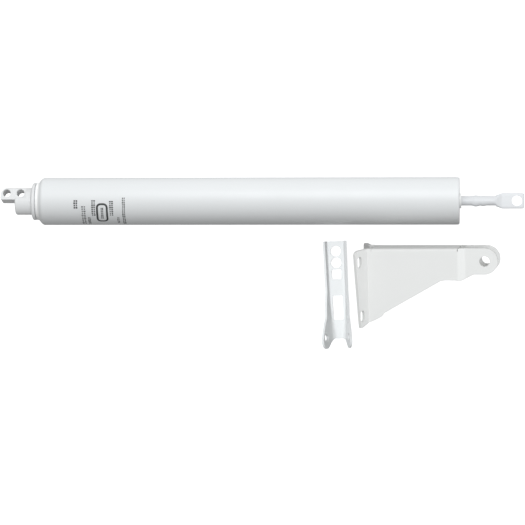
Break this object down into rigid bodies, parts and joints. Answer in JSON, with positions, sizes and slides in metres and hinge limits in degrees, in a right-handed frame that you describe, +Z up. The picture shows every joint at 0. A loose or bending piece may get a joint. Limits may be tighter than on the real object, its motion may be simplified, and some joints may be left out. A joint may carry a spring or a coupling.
{
  "type": "pneumatic door closer",
  "caption": "White pneumatic screen-door closer, a sprung air cylinder with a drilled tongue and a flattened rod eye, laid out with its loose jamb bracket and door bracket.",
  "frame": {"origin": "centre of the outer pin hole in the closer's end plug, on the middle plane of the tongue", "axes": "+X along the closer towards its rod eye, +Z up from the surface that the kit lies on, +Y across the kit towards the closer, away from the brackets"},
  "size_m": [0.3512, 0.1149, 0.0491],
  "materials": {
    "tube_enamel": "satin white enamel on steel tube",
    "plug_enamel": "white paint on a die-cast plug",
    "seal_rubber": "black nitrile rubber",
    "screw_brass": "turned brass",
    "cap_enamel": "white paint on a die-cast cap",
    "bush_nylon": "natural white nylon",
    "spring_steel": "oiled spring wire",
    "zinc_steel": "zinc-plated steel",
    "rod_enamel": "white paint on the steel rod",
    "piston_nylon": "moulded nylon",
    "cup_leather": "formed leather cup",
    "jamb_enamel": "warm white enamel on folded sheet",
    "door_enamel": "bright white enamel on folded sheet"
  },
  "bodies": {
    "closer": {"cylinder_tube": "tube_enamel", "end_plug": "plug_enamel", "end_plug_seal": "seal_rubber", "rod_end_cap": "cap_enamel", "rod_guide_bush": "bush_nylon", "rod_bumper": "seal_rubber", "main_spring": "spring_steel"},
    "screw": {"adjusting_screw": "screw_brass", "adjusting_screw_seal": "seal_rubber"},
    "spring_seat": {"spring_seat_washer": "zinc_steel"},
    "rod": {"piston_rod": "rod_enamel", "piston": "piston_nylon", "piston_cup_seal": "cup_leather", "cup_washer": "zinc_steel", "lock_washer": "zinc_steel", "piston_nut": "zinc_steel"},
    "jamb_bracket": {"jamb_bracket": "jamb_enamel"},
    "door_bracket": {"door_bracket": "door_enamel"}
  },
  "joints": [
    {"name": "rod_slide", "type": "slide", "parent": "closer", "child": "spring_seat", "axis": [1, 0, 0], "range_m": [0, 0.13], "stiffness_N_per_m": 1000, "springref_m": -0.02, "deforming": ["main_spring"]},
    {"name": "rod_turn", "type": "hinge", "parent": "spring_seat", "child": "rod", "pos_m": [0, -0.00437, 0.00109], "axis": [1, 0, 0], "continuous": true},
    {"name": "screw_turn", "type": "hinge", "parent": "closer", "child": "screw", "pos_m": [0.007, -0.00893, 0.00223], "axis": [-1, 0, 0], "range_deg": [-360, 360]},
    {"name": "jamb_lift", "type": "slide", "parent": "closer", "child": "jamb_bracket", "axis": [0, 0, 1], "range_m": [0, 0.06]},
    {"name": "door_lift", "type": "slide", "parent": "closer", "child": "door_bracket", "axis": [0, 0, 1], "range_m": [0, 0.06]}
  ]
}
